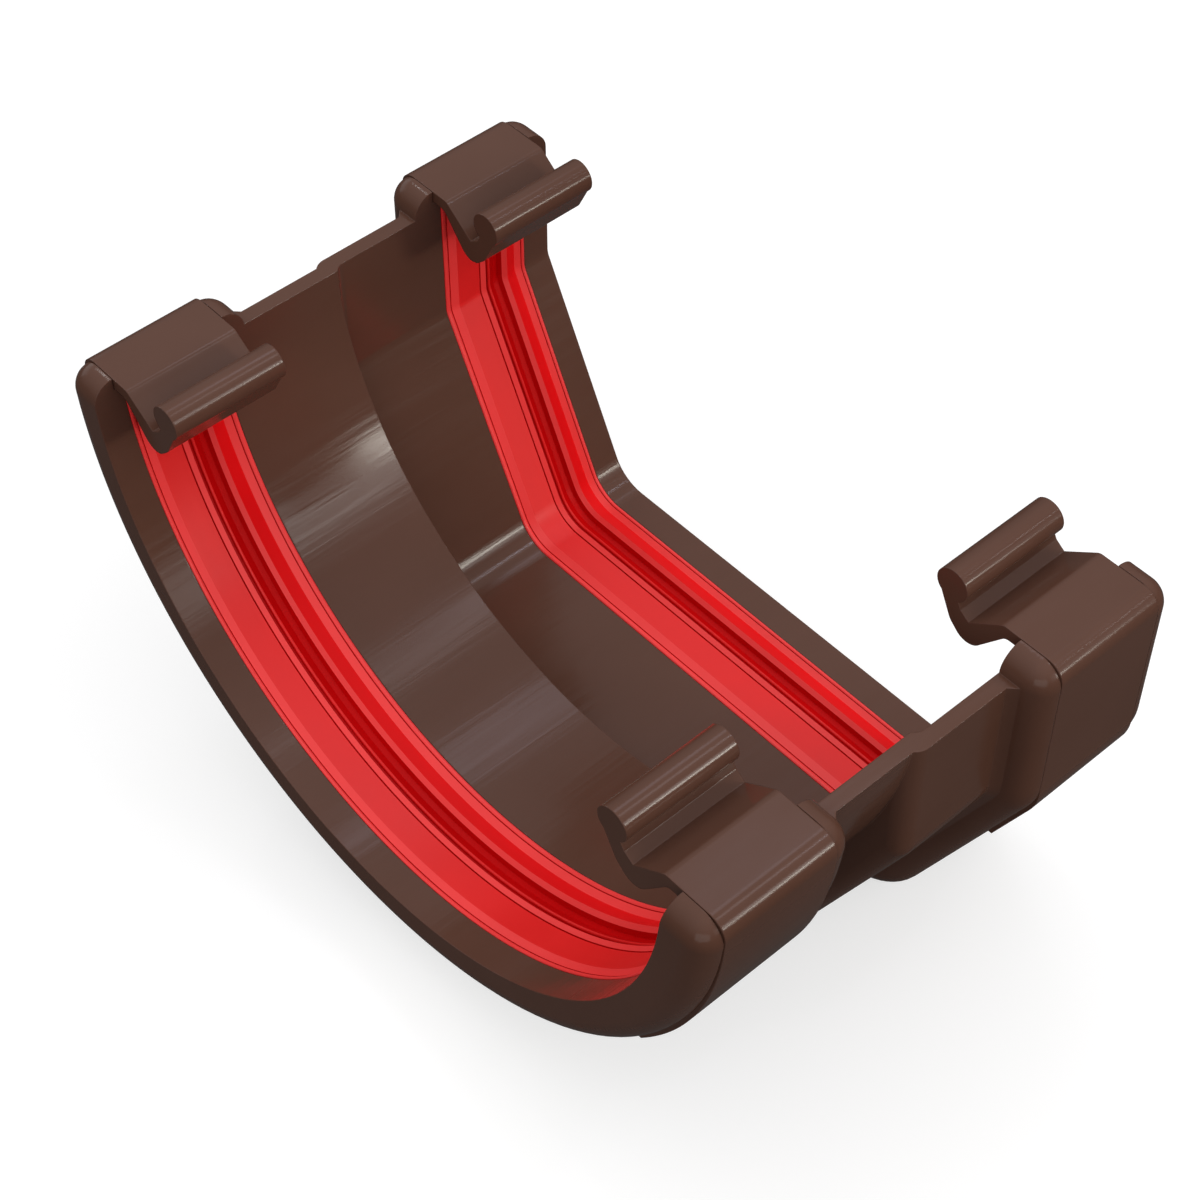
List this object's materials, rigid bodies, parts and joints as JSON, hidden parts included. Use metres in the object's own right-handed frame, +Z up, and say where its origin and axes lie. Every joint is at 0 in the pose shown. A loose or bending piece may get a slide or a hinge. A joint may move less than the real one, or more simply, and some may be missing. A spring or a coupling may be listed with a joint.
{
  "type": "gutter adaptor",
  "caption": "Rain gutter adaptor that joins a half-round gutter to a square-line gutter, with retaining clips and ribbed rubber seals.",
  "frame": {"origin": "on the floor, under the middle of the adaptor's width and length", "axes": "+X across the gutter, +Y along the flow from the half-round socket to the square socket, +Z up"},
  "size_m": [0.1282, 0.082, 0.0711],
  "materials": {
    "brown_plastic": "glossy injection-moulded chocolate-brown plastic",
    "red_rubber": "smooth bright red rubber"
  },
  "bodies": {
    "root": {"adaptor_body": "brown_plastic", "clip_round_left": "brown_plastic", "clip_round_right": "brown_plastic", "clip_square_left": "brown_plastic", "clip_square_right": "brown_plastic", "seal_round": "red_rubber", "seal_square": "red_rubber"}
  },
  "joints": []
}
